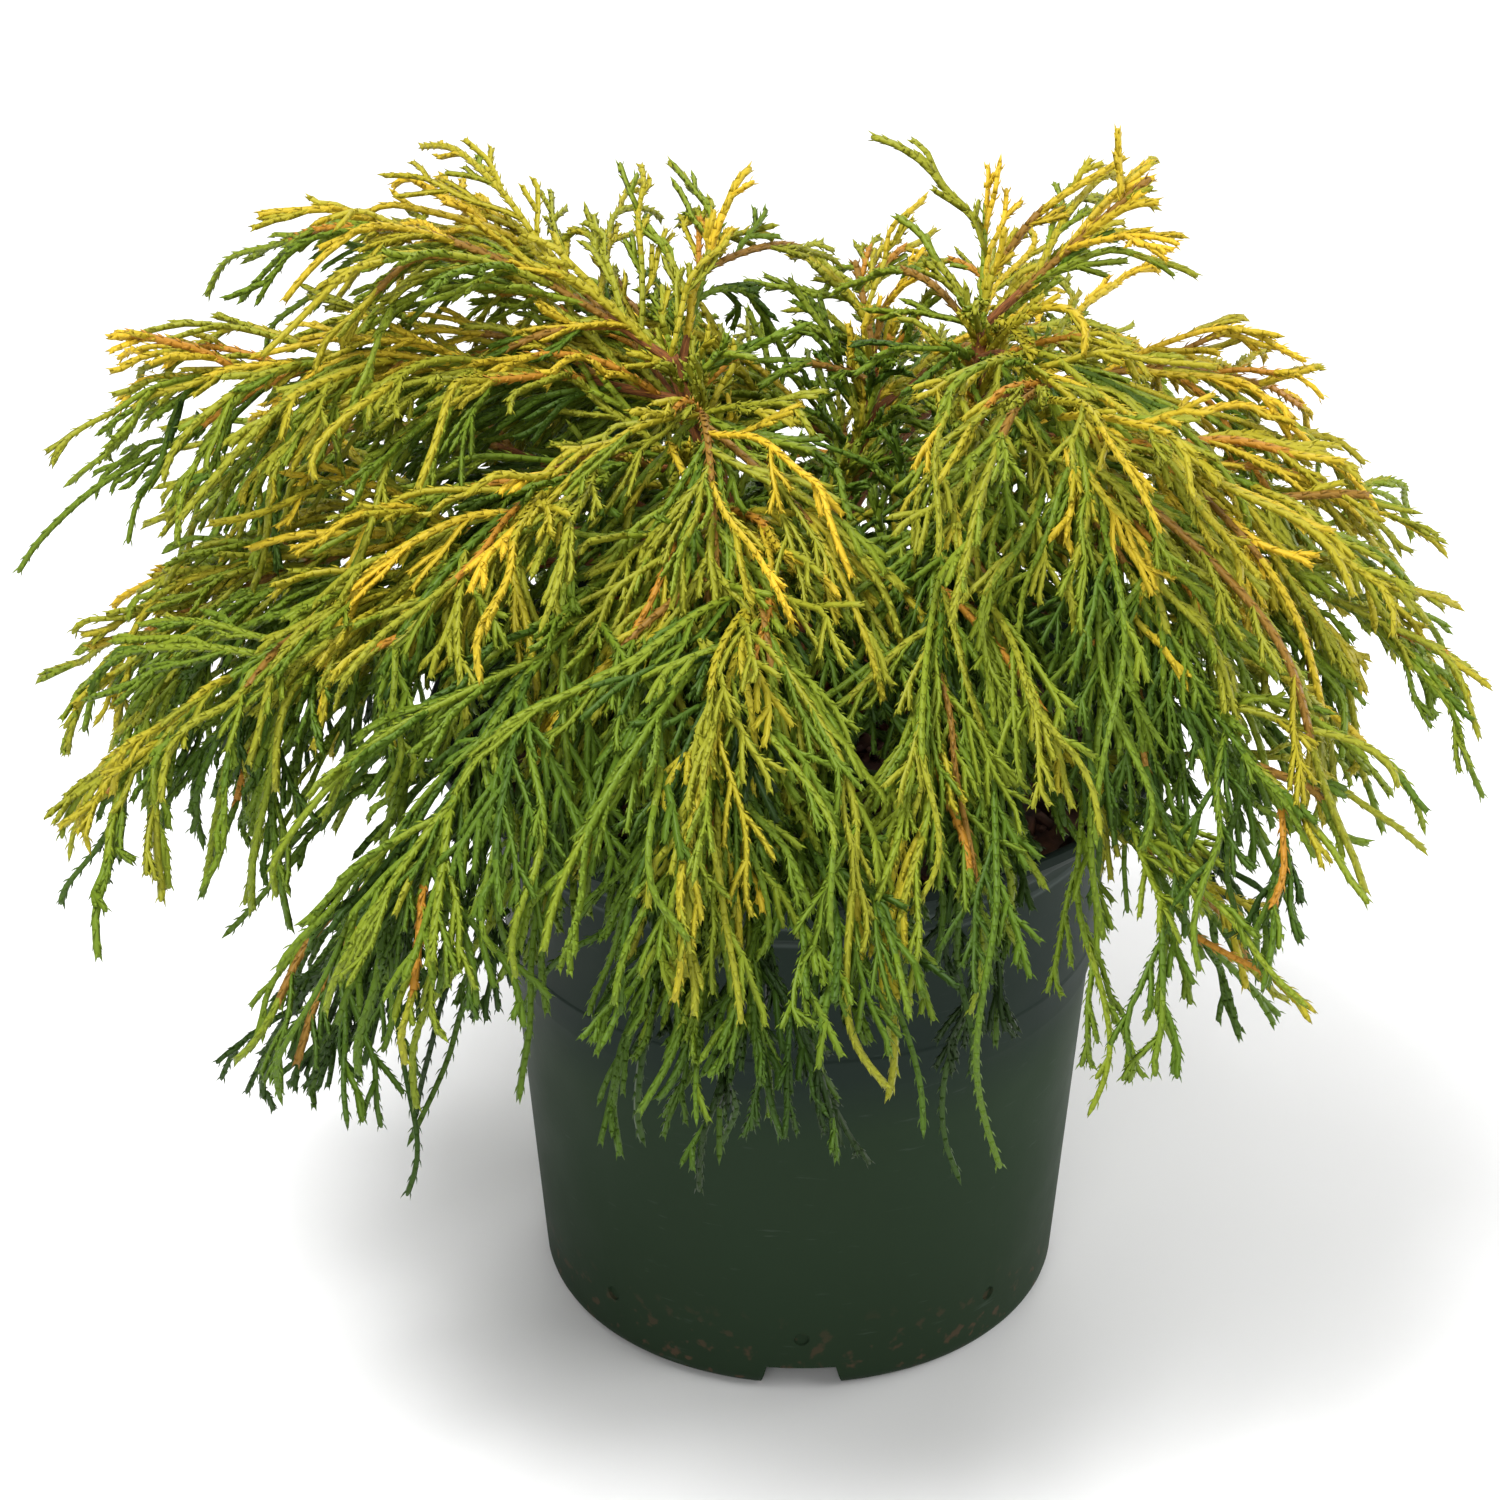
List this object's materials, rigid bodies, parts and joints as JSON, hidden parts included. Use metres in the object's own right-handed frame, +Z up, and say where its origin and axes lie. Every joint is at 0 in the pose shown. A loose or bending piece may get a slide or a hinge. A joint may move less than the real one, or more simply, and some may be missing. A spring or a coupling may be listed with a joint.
{
  "type": "potted golden mop sawara cypress",
  "caption": "Low golden conifer with weeping thread-like foliage on several stems, growing in a round, tapered dark green plastic nursery pot.",
  "frame": {"origin": "middle of the pot's underside, on the flat pad that it stands on", "axes": "+Z up along the pot's axis, -Y towards the side that the picture shows"},
  "size_m": [0.3739, 0.3438, 0.3176],
  "materials": {
    "pot_plastic": "satin, lightly scuffed dark green polypropylene",
    "mulch": "matt, damp red-brown bark mulch over potting mix",
    "bark": "matt reddish-brown bark with fine long fibres",
    "needles": "matt scale leaves, golden yellow at the tips and green inside"
  },
  "bodies": {
    "root": {"pot": "pot_plastic", "soil": "mulch", "trunk": "bark", "leader_left": "bark", "leader_right": "bark", "leader_back": "bark", "bough_low_1": "bark", "bough_low_2": "bark", "bough_low_3": "bark", "bough_low_4": "bark", "bough_low_5": "bark", "bough_low_6": "bark", "bough_low_7": "bark", "bough_low_8": "bark", "bough_middle_1": "bark", "bough_middle_2": "bark", "bough_middle_3": "bark", "bough_middle_4": "bark", "bough_middle_5": "bark", "bough_middle_6": "bark", "bough_middle_7": "bark", "bough_middle_8": "bark", "bough_middle_9": "bark", "bough_middle_10": "bark", "foliage_low_1": "needles", "foliage_low_2": "needles", "foliage_low_3": "needles", "foliage_low_4": "needles", "foliage_low_5": "needles", "foliage_low_6": "needles", "foliage_low_7": "needles", "foliage_low_8": "needles", "foliage_middle_1": "needles", "foliage_middle_2": "needles", "foliage_middle_3": "needles", "foliage_middle_4": "needles", "foliage_middle_5": "needles", "foliage_middle_6": "needles", "foliage_middle_7": "needles", "foliage_middle_8": "needles", "foliage_middle_9": "needles", "foliage_middle_10": "needles", "foliage_top_1": "needles", "foliage_top_2": "needles", "foliage_top_3": "needles", "foliage_top_4": "needles", "foliage_top_5": "needles", "foliage_top_6": "needles", "foliage_top_7": "needles", "foliage_top_8": "needles", "foliage_top_9": "needles", "foliage_top_10": "needles", "foliage_top_11": "needles", "foliage_top_12": "needles", "foliage_top_13": "needles", "foliage_top_14": "needles", "foliage_front_1": "needles", "foliage_front_2": "needles", "foliage_front_3": "needles"}
  },
  "joints": []
}
